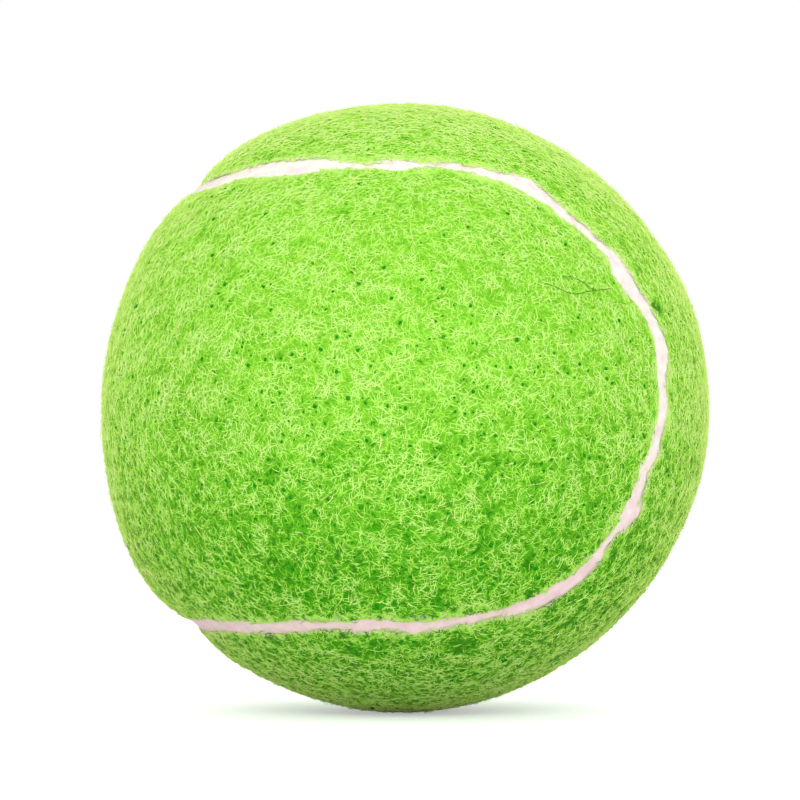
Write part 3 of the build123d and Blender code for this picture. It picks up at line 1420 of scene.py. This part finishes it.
@dataclass(frozen=True)
class FibreFinish:
    """Dyed fibres: tone runs across their map, and height in the nap runs up it and scales the colour as
    painted shade and light.

    Attributes:
        name: Name of the material.
        tones: Colours along the tone scale, each with its place.
        root_light: Share of the colour that shows at the foot of the nap, the deepest painted shade.
        top_light: Share of it that shows at the top of the nap, as painted light.
        roughness: Of a fibre.
        sheen: Strength of the soft light along the nap's rim.
        sheen_roughness: How far that light spreads.
        sheen_tint: Its colour.
    """

    name: str = "dyed_fibres"
    tones: tuple[tuple[float, Colour], ...] = (
        (0.00, (0.010, 0.19, 0.002)),
        (0.18, (0.055, 0.39, 0.007)),
        (0.38, (0.225, 0.68, 0.030)),
        (0.58, (0.42, 0.90, 0.082)),
        (0.86, (0.62, 0.97, 0.235)),
        (0.89, (0.78, 0.90, 0.240)),
        (0.93, (0.84, 0.89, 0.320)),
        (0.98, (0.90, 0.88, 0.760)),
    )
    root_light: float = 0.58
    top_light: float = 1.17
    roughness: float = 0.75
    sheen: float = 0.46
    sheen_roughness: float = 0.5
    sheen_tint: Colour = (0.94, 1.0, 0.34)

    def material(self) -> bpy.types.Material:
        """Makes the material."""
        looks = {
            "Roughness": self.roughness,
            "Specular IOR Level": 0.0,
            "Sheen Weight": self.sheen,
            "Sheen Roughness": self.sheen_roughness,
            "Sheen Tint": (*self.sheen_tint, 1),
        }
        material, board, shader = new_material(self.name, looks)
        place = board.add("ShaderNodeUVMap", uv_map=MAP_NAME)
        axes = board.add("ShaderNodeSeparateXYZ")
        ramp = board.add("ShaderNodeValToRGB")
        stops = ramp.color_ramp.elements
        for _ in self.tones[2:]:
            stops.new(0.5)
        for stop, (at, colour) in zip(stops, self.tones, strict=True):
            stop.position = at
            stop.color = (*colour, 1)
        # Painted shade and light: the colour is scaled by the fibre's height in the nap.
        lift = board.add("ShaderNodeMapRange", {"To Min": self.root_light, "To Max": self.top_light})
        shade = board.add("ShaderNodeMix", {"Factor": 1.0}, data_type="RGBA", blend_type="MULTIPLY")
        board.join(place.outputs["UV"], axes.inputs["Vector"])
        board.join(axes.outputs["X"], ramp.inputs["Fac"])
        board.join(axes.outputs["Y"], lift.inputs["Value"])
        board.join(ramp.outputs["Color"], shade.inputs["A"])
        board.join(lift.outputs["Result"], shade.inputs["B"])
        board.join(shade.outputs["Result"], shader.inputs["Base Color"])
        return material


# The felt's ground gets painted shade towards the bottom of the ball.
FELT_GROUND = DeepeningFinish(
    "felt_ground", (0.10, 0.40, 0.015), (0.27, 0.64, 0.040), 0.30 * MM, 0.10 * MM, 0.95, 0.0,
    deep=(0.020, 0.30, 0.003), share=0.76, top=2 * MM, bottom=-20 * MM,
)
# The seam rubber gets painted shade, tinted pink, towards the bottom of the ball.
SEAM_FINISH = DeepeningFinish(
    "seam_rubber", (0.66, 0.52, 0.53), (0.75, 0.74, 0.65), 1.4 * MM, 0.14 * MM, 0.7,
    deep=(0.74, 0.40, 0.51), share=0.45, top=-4 * MM, bottom=-20 * MM,
)
# The holes' dark green is painted shade for the inside of each hole.
HOLE_SHADE_FINISH = MottledFinish(
    "needle_holes", (0.008, 0.17, 0.005), (0.02, 0.28, 0.010), 0.30 * MM, 0.05 * MM, 0.95, 0.0
)
PANEL_CEMENT = MottledFinish(
    "panel_cement", (0.68, 0.58, 0.42), (0.78, 0.70, 0.54), 2 * MM, 0.05 * MM, 0.5
)
CORE_CEMENT = MottledFinish(
    "core_cement", (0.58, 0.46, 0.29), (0.70, 0.58, 0.40), 2.5 * MM, 0.06 * MM, 0.5
)
CORE_RUBBER = MottledFinish(
    "core_rubber_upper", (0.070, 0.066, 0.062), (0.11, 0.105, 0.10), 1.5 * MM, 0.05 * MM, 0.8
)
JOINT_CEMENT = MottledFinish(
    "joint_cement", (0.16, 0.13, 0.10), (0.24, 0.20, 0.15), 1.2 * MM, 0.05 * MM, 0.55
)
INNER_FINISHES = {
    "panel_cement_side": PANEL_CEMENT,
    "panel_cement_upright": replace(PANEL_CEMENT, name="panel_cement_upright"),
    "core_cement": CORE_CEMENT,
    "core_half_upper": CORE_RUBBER,
    "core_half_lower": replace(CORE_RUBBER, name="core_rubber_lower"),
    "core_joint_cement": JOINT_CEMENT,
}


@dataclass(frozen=True)
class FeltBody:
    """The felt of one panel below its nap.

    Attributes:
        panel: Which panel it is.
        surface: Surface that it follows.
        fineness: How often the starting sphere is divided.
        edge_band: Band along the edge that is divided again.
        slide_band: Width of the band in which the edge is slid to where it really runs, in edge bands.
        bare_tips: How far the nap reaches out past the felt that carries it.
        lump_height: Of the felt's low lumps.
        flat_width: Width of the blank before it is stretched over the core; not used.
        flat_length: Length of the blank; not used.
        flat_area: Area of the blank; not used.
    """

    panel: Panel
    surface: FeltSurface
    fineness: int = 5
    edge_band: float = 2.2 * MM
    slide_band: float = 2.5
    bare_tips: float = 0.12 * MM
    lump_height: float = 0.03 * MM
    flat_width: float = 50 * MM
    flat_length: float = 146 * MM
    flat_area: float = 6040 * MM * MM

    def build(self) -> bpy.types.Object:
        """Cuts the panel from a sphere, backs it and rounds its edges.

        Returns:
            The panel's body.
        """
        course, radius = self.surface.course, self.surface.body_radius
        start_fresh()
        bpy.ops.mesh.primitive_ico_sphere_add(subdivisions=self.fineness, radius=radius)
        body = bpy.context.object
        body.name = f"{self.panel.value}_panel_felt"
        body.data.name = body.name
        select_faces(body, lambda middles: np.ones(len(middles), bool))
        bpy.ops.mesh.bisect(plane_co=(0, 0, 0), plane_no=(1, 0, 0))
        for end in (End.TOP, End.BOTTOM, End.FRONT, End.BACK):
            at_waist = end.panel is Panel.UPRIGHT
            half = -1 if at_waist else 1
            angle = course.waist_edge if at_waist else course.tip_edge
            axis = self.panel.as_side(course.axis(end))
            select_faces(body, lambda middles: self.panel.as_side(middles)[:, 0] * half > 0)
            bpy.ops.mesh.bisect(plane_co=axis * radius * math.cos(angle), plane_no=axis)
        select_faces(body, lambda middles: course.inset(unit(middles), self.panel) < 0)
        bpy.ops.mesh.delete(type="FACE")
        select_faces(body, lambda middles: course.inset(unit(middles), self.panel) < self.edge_band)
        bpy.ops.mesh.subdivide(number_cuts=2)
        bpy.ops.mesh.select_all(action="SELECT")
        bpy.ops.mesh.quads_convert_to_tris()
        bpy.ops.mesh.duplicate()
        shrink = self.surface.back_radius / radius
        bpy.ops.transform.resize(value=(shrink,) * 3, center_override=(0, 0, 0))
        bpy.ops.mesh.flip_normals()
        bpy.ops.mesh.select_mode(type="EDGE")
        bpy.ops.mesh.select_all(action="DESELECT")
        bpy.ops.mesh.select_non_manifold(extend=False)
        bpy.ops.mesh.bridge_edge_loops()
        bpy.ops.mesh.select_all(action="SELECT")
        bpy.ops.mesh.normals_make_consistent(inside=False)
        bpy.ops.object.mode_set(mode="OBJECT")
        self.shape(body.data)
        bpy.ops.object.shade_smooth_by_angle(angle=SMOOTH_ANGLE)
        return body

    def shape(self, mesh: bpy.types.Mesh) -> None:
        """Rounds the outer edge down to the rubber and gives the felt its low lumps."""
        surface = self.surface
        points = vertex_places(mesh)
        radius = np.linalg.norm(points, axis=1)
        ways = points / radius[:, None]
        outer = radius > (surface.body_radius + surface.back_radius) / 2
        inset = surface.course.inset(ways, self.panel)
        near = outer & (inset < self.slide_band * self.edge_band)
        shift, widening = surface.wander(ways[near])
        cover = np.zeros(len(points))
        cover[near] = np.clip(surface.overhang_at(ways[near], self.panel) - self.bare_tips, 0, None)
        fading = hump(inset[near], self.edge_band)
        slide = (widening - self.panel.growth * shift - cover[near]) * fading / surface.body_radius
        ways[near] = unit(ways[near] + slide[:, None] * surface.course.inward(ways[near], self.panel))
        lumps = self.lump_height * FELT_LUMPS.at(points)
        level = surface.level(ways, self.panel, surface.inset(ways, self.panel) + cover) + lumps
        move_vertices(mesh, ways * np.where(outer, level, radius)[:, None])

    def dress(self, body: bpy.types.Object, nap: list[bpy.types.Object]) -> None:
        """Gives the body its finish, attaches it to the ball and hides the panel's solid in the model.

        Args:
            body: The panel's body.
            nap: The pieces of its nap; not used.
        """
        body.data.materials.append(FELT_GROUND.material())
        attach(body, BODY)
        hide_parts(self.panel.node)
        log.info("%s: %d faces", body.name, len(body.data.polygons))


@dataclass(frozen=True)
class SeamRubber:
    """The rubber strip along the seam.

    Attributes:
        surface: The felt beside it.
        base_radius: Of the strip's underside.
        edge_radius: Where the rubber runs under the felt's edges.
        middle_radius: Of the strip's middle.
        steps: Places along each arc.
        section_points: Points across the strip's top.
        lap: How far the strip laps under the felt's shoulders.
        lump_height: Of the low lumps in its top.
    """

    surface: FeltSurface
    base_radius: float = 30.2 * MM
    edge_radius: float = 33.25 * MM
    middle_radius: float = 33.32 * MM
    steps: int = 220
    section_points: int = 11
    lap: float = 0.3 * MM
    lump_height: float = 0.03 * MM

    def section(self) -> np.ndarray:
        """Angle from the seam's middle and radius of each point of the strip's section."""
        across = np.linspace(-1, 1, self.section_points)
        top = self.middle_radius + (self.edge_radius - self.middle_radius) * across**4
        angles = np.concatenate([across, [1, 0, -1]]) * self.surface.course.half_gap
        return np.stack([angles, np.concatenate([top, [self.base_radius] * 3])], axis=1)

    def arc(self, end: End) -> bpy.types.Object:
        """Spins the section round one panel end.

        Args:
            end: The panel end.

        Returns:
            That stretch of the strip.
        """
        course, section = self.surface.course, self.section()
        start_fresh()
        bpy.ops.mesh.primitive_circle_add(vertices=len(section), radius=self.middle_radius)
        arc = bpy.context.object
        outline = course.place(end, course.half_arc, course.arc_angle + section[:, 0]) * section[:, 1:]
        move_vertices(arc.data, outline)
        bpy.ops.object.mode_set(mode="EDIT")
        bpy.ops.mesh.select_all(action="SELECT")
        turn = 2 * course.half_arc
        bpy.ops.mesh.spin(steps=self.steps, angle=turn, center=(0, 0, 0), axis=course.axis(end))
        bpy.ops.object.mode_set(mode="OBJECT")
        return arc

    def build(self) -> bpy.types.Object:
        """Joins the arcs round the panel ends into one loop.

        Returns:
            The strip.
        """
        arcs = [self.arc(end) for end in End]
        for arc in arcs:
            arc.select_set(True)
        bpy.ops.object.join()
        strip = bpy.context.object
        strip.name = "seam_rubber"
        strip.data.name = strip.name
        bpy.ops.object.transform_apply(location=True, rotation=True, scale=True)
        bpy.ops.object.mode_set(mode="EDIT")
        bpy.ops.mesh.select_all(action="SELECT")
        bpy.ops.mesh.remove_doubles(threshold=0.01 * MM)
        bpy.ops.mesh.normals_make_consistent(inside=False)
        bpy.ops.object.mode_set(mode="OBJECT")
        self.spread(strip.data)
        bpy.ops.object.shade_smooth_by_angle(angle=SMOOTH_ANGLE)
        return strip

    def spread(self, mesh: bpy.types.Mesh) -> None:
        """Spreads the strip's top to the felt's edges, with the lumps of rubber set without a mould."""
        surface, course = self.surface, self.surface.course
        points = vertex_places(mesh)
        radius = np.linalg.norm(points, axis=1, keepdims=True)
        ways = points / radius
        top = radius[:, 0] > (self.base_radius + self.middle_radius) / 2
        across = (course.inset(ways, Panel.SIDE) - course.inset(ways, Panel.UPRIGHT)) / 2
        shift, widening = surface.wander(ways)
        slide = np.where(top, across / (course.seam_width / 2) * (widening + self.lap) - shift, 0)
        ways = unit(ways + slide[:, None] / radius * course.inward(ways, Panel.SIDE))
        lumps = self.lump_height * RUBBER_LUMPS.at(points) + self.lump_height * RUBBER_SWELLS.at(points)
        move_vertices(mesh, ways * (radius + np.where(top, lumps, 0)[:, None]))

    def dress(self, strip: bpy.types.Object) -> None:
        """Gives the strip its finish, attaches it to the ball and hides the seam's solid in the model."""
        strip.data.materials.append(SEAM_FINISH.material())
        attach(strip, BODY)
        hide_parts("seam_strip")
        log.info("%s: %d faces", strip.name, len(strip.data.polygons))


@dataclass(frozen=True)
class NapPieces:
    """The nap's fibres as separate pieces, one for each layer of a panel or for each third of it.

    Attributes:
        surface: The felt.
        pits: The needle holes.
    """

    surface: FeltSurface
    pits: Pits

    def build(self) -> dict[Panel, list[bpy.types.Object]]:
        """Lays the fibres and models them.

        Returns:
            The pieces of each panel's nap.
        """
        nap, shade = Nap(self.surface, self.pits), FeltShade(self.surface)
        finish = FibreFinish().material()
        layers = (UNDER_NAP, TOP_NAP, SHORT_NAP, LOOSE_CURLS, FUZZ)
        fringes = (Fringe(nap, stained=False), Fringe(nap, stained=True))
        batches = [(layer, nap.lay(layer)) for layer in layers]
        batches += [(fringe.layer, fringe.strands()) for fringe in fringes]
        stocks = {stations: FibreStock(stations) for stations in {layer.stations for layer, _ in batches}}
        made: dict[Panel, list[bpy.types.Object]] = {panel: [] for panel in Panel}
        for layer, strands in batches:
            for panel in Panel:
                own = strands.only(strands.upright == (panel is Panel.UPRIGHT))
                parts = {f"{panel.value}_{layer.name}": own}
                if layer.in_thirds:
                    parts = {
                        f"{panel.value}_{third.name.lower()}_{layer.name}": some
                        for third, some in own.thirds(panel).items()
                    }
                for name, some in parts.items():
                    mesh = stocks[layer.stations].mesh(name, some, shade)
                    made[panel].append(felt_piece(name, mesh, finish))
        return made


@dataclass(frozen=True)
class NeedleHoles:
    """The needle holes of one panel, each a small dark plug at the foot of the nap, painted shade standing
    in for the shadow inside the hole.

    Attributes:
        panel: Which panel they are in.
        surface: The felt.
        pits: Where the holes are.
        flatness: Height of a plug over its width.
        lift: Height of a plug's middle over the felt.
        widths: Least and greatest width of a plug over its length.
        seed: Seed of the draws.
    """

    panel: Panel
    surface: FeltSurface
    pits: Pits
    flatness: float = 0.35
    lift: float = 0.11 * MM
    widths: tuple[float, float] = (0.45, 1.1)
    seed: int = 6

    def build(self) -> bpy.types.Object:
        """Models one plug and copies it to each hole.

        Returns:
            The holes as one piece.
        """
        start_fresh()
        bpy.ops.mesh.primitive_ico_sphere_add(subdivisions=1, radius=1)
        plug, faces = take_shape(bpy.context.object)
        middles, sizes = self.pits.places()
        inset = self.surface.inset(middles, self.panel)
        inside = inset > 0
        middles, sizes, inset = middles[inside], sizes[inside], inset[inside]
        rng = np.random.default_rng(self.seed)
        first = unit(np.cross(middles, rng.normal(size=middles.shape)))
        second = np.cross(middles, first) * rng.uniform(*self.widths, (len(middles), 1))
        spots = middles * (self.surface.level(middles, self.panel, inset) + self.lift)[:, None]
        points = spots[:, None] + sizes[:, None, None] * (
            plug[:, :1] * first[:, None]
            + plug[:, 1:2] * second[:, None]
            + plug[:, 2:] * middles[:, None] * self.flatness
        )
        name = f"{self.panel.value}_needle_holes"
        return felt_piece(name, copies_mesh(name, points, faces), HOLE_SHADE_FINISH.material())


@dataclass(frozen=True)
class StrayHairs:
    """Dark hairs caught in the nap near the front end's edge.

    Attributes:
        surface: The felt.
        courses: Each hair's bends, as angles from the front end's axis and turns about it, in degrees.
        stations: Places along each hair.
        height: Of the hairs over the felt.
        thickness: Of a hair.
        tone: Of a hair, below the dye's scale so that it stays dark.
    """

    surface: FeltSurface
    courses: tuple[tuple[tuple[float, float], ...], ...] = (
        ((24.6, 51.0), (26.8, 43.7), (27.6, 39.4), (29.5, 36.1), (33.0, 34.0), (36.0, 32.0), (38.4, 31.1)),
        ((29.4, 44.4), (30.8, 42.4), (31.7, 40.1), (32.6, 37.2), (33.3, 34.6)),
        ((33.1, 34.9), (33.6, 34.0), (33.9, 34.6)),
        ((33.9, 33.8), (33.4, 34.2), (33.0, 33.9)),
    )
    stations: int = 9
    height: float = 0.40 * MM
    thickness: float = 0.085 * MM
    tone: float = -0.5

    def build(self) -> bpy.types.Object:
        """Lays and models the hairs.

        Returns:
            The hairs as one piece.
        """
        steps = np.linspace(0, 1, self.stations)
        lines = []
        for bends in self.courses:
            angles, turns = np.radians(bends).T
            at = np.linspace(0, 1, len(bends))
            turn, angle = np.interp(steps, at, turns), np.interp(steps, at, angles)
            ways = self.surface.course.place(End.FRONT, turn, angle)
            lines.append(ways * (self.surface.body_radius + self.height))
        count = len(lines)
        strands = Strands(
            np.array(lines),
            np.full((count, self.stations), self.height),
            np.full(count, self.thickness),
            np.full(count, self.tone),
            np.zeros(count, bool),
        )
        mesh = FibreStock(self.stations).mesh("stray_hairs", strands, FeltShade(self.surface))
        return felt_piece("stray_hairs", mesh, FibreFinish("stray_hairs").material())


def dress_inside() -> None:
    """Gives the layers below the felt their finishes."""
    for name, finish in INNER_FINISHES.items():
        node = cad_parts[name]
        material = finish.material()
        for place in node.material_slots:
            place.link = "OBJECT"
            place.material = material
        log.info("%s: dressed", name)


@dataclass(frozen=True)
class Studio:
    """Floor, lamp, surroundings and camera.

    Attributes:
        floor_level: Height of the floor.
        floor_size: Side of the floor.
        floor_white: Shade of the floor.
        floor_lift: Light that the floor adds for the camera, so that it shows white.
        sky: Strength of the surroundings.
        key_power: Power of the lamp.
        key_place: Where the lamp hangs.
        key_size: Diameter of the lamp.
        azimuth: Of the camera, in degrees.
        elevation: Of the camera, in degrees.
        distance: From the ball's centre to the camera.
        picture: Side of the picture in pixels.
        focal: Focal length in those pixels.
        centre: The ball's centre in that picture.
    """

    floor_level: float = -33.8 * MM
    floor_size: float = 6.0
    floor_white: float = 0.9
    floor_lift: float = 0.40
    sky: float = 1.08
    key_power: float = 2.2
    key_place: Way = (-0.09, -0.57, 0.14)
    key_size: float = 0.40
    azimuth: float = -9.59
    elevation: float = -3.56
    distance: float = 272.4 * MM
    picture: float = 800.0
    focal: float = 2439.0
    centre: tuple[float, float] = (404.1, 407.6)

    def build(self) -> None:
        """Makes the whole studio."""
        self.lay_floor()
        self.light()
        self.aim_camera()
        bpy.context.scene.view_settings.view_transform = "Standard"

    def seen_directly(self, board: NodeBoard) -> bpy.types.NodeSocket:
        """Adds nodes that tell whether the camera sees a surface straight, mirrored or through glass."""
        light_path = board.add("ShaderNodeLightPath")
        either = board.add("ShaderNodeMath", operation="MAXIMUM")
        any_way = board.add("ShaderNodeMath", operation="MAXIMUM")
        board.join(light_path.outputs["Is Camera Ray"], either.inputs[0])
        board.join(light_path.outputs["Is Glossy Ray"], either.inputs[1])
        board.join(either.outputs[0], any_way.inputs[0])
        board.join(light_path.outputs["Is Transmission Ray"], any_way.inputs[1])
        return any_way.outputs[0]

    def lay_floor(self) -> None:
        """Lays the pale floor that carries the ball."""
        start_fresh()
        bpy.ops.mesh.primitive_plane_add(size=self.floor_size, location=(0, 0, self.floor_level))
        floor = bpy.context.object
        floor.name = "floor"
        looks = {
            "Base Color": (*(self.floor_white,) * 3, 1),
            "Roughness": 1.0,
            "Specular IOR Level": 0.0,
            "Emission Color": (1, 1, 1, 1),
        }
        material, board, shader = new_material("pale_floor", looks)
        strength = board.add("ShaderNodeMath", operation="MULTIPLY")
        strength.inputs[1].default_value = self.floor_lift
        board.join(self.seen_directly(board), strength.inputs[0])
        board.join(strength.outputs[0], shader.inputs["Emission Strength"])
        floor.data.materials.append(material)

    def light(self) -> None:
        """Hangs the lamp and sets the surroundings."""
        start_fresh()
        bpy.ops.object.light_add(type="AREA", location=self.key_place)
        lamp = bpy.context.object
        lamp.name = "key_lamp"
        lamp.data.shape = "DISK"
        lamp.data.size = self.key_size
        lamp.data.energy = self.key_power
        lamp.rotation_mode = "QUATERNION"
        lamp.rotation_quaternion = (-lamp.location).to_track_quat("-Z", "Y")
        world = bpy.data.worlds.new("white_surroundings")
        world.use_nodes = True
        bpy.context.scene.world = world
        board = NodeBoard(world.node_tree)
        background = world.node_tree.nodes["Background"]
        background.inputs["Color"].default_value = (1, 1, 1, 1)
        strength = board.add("ShaderNodeMix", {"A": self.sky, "B": 1.0}, data_type="FLOAT")
        board.join(self.seen_directly(board), strength.inputs["Factor"])
        board.join(strength.outputs["Result"], background.inputs["Strength"])

    def aim_camera(self) -> None:
        """Sets the camera at the photograph's viewing angle."""
        start_fresh()
        bpy.ops.object.camera_add()
        camera = bpy.context.object
        camera.name = "camera"
        around, above = math.radians(self.azimuth), math.radians(self.elevation)
        camera.location = (
            self.distance * math.sin(around) * math.cos(above),
            -self.distance * math.cos(around) * math.cos(above),
            self.distance * math.sin(above),
        )
        camera.rotation_mode = "QUATERNION"
        camera.rotation_quaternion = (-camera.location).to_track_quat("-Z", "Y")
        camera.data.sensor_width = 36.0
        camera.data.lens = self.focal / self.picture * camera.data.sensor_width
        camera.data.shift_x = 0.5 - self.centre[0] / self.picture
        camera.data.shift_y = self.centre[1] / self.picture - 0.5
        camera.data.clip_start = 0.01
        bpy.context.scene.camera = camera


def main() -> None:
    """Builds and dresses the ball and its studio, and notes how large it has become."""
    logging.basicConfig(level=logging.INFO, format="%(message)s")
    surface = FeltSurface(SeamCourse())
    pits = Pits(surface)
    nap = NapPieces(surface, pits).build()
    nap[Panel.SIDE].append(StrayHairs(surface).build())
    for panel in Panel:
        felt = FeltBody(panel, surface)
        body = felt.build()
        holes = NeedleHoles(panel, surface, pits).build()
        felt.dress(body, [*nap[panel], holes])
    rubber = SeamRubber(surface)
    rubber.dress(rubber.build())
    dress_inside()
    Studio().build()


if __name__ == "__main__":
    main()
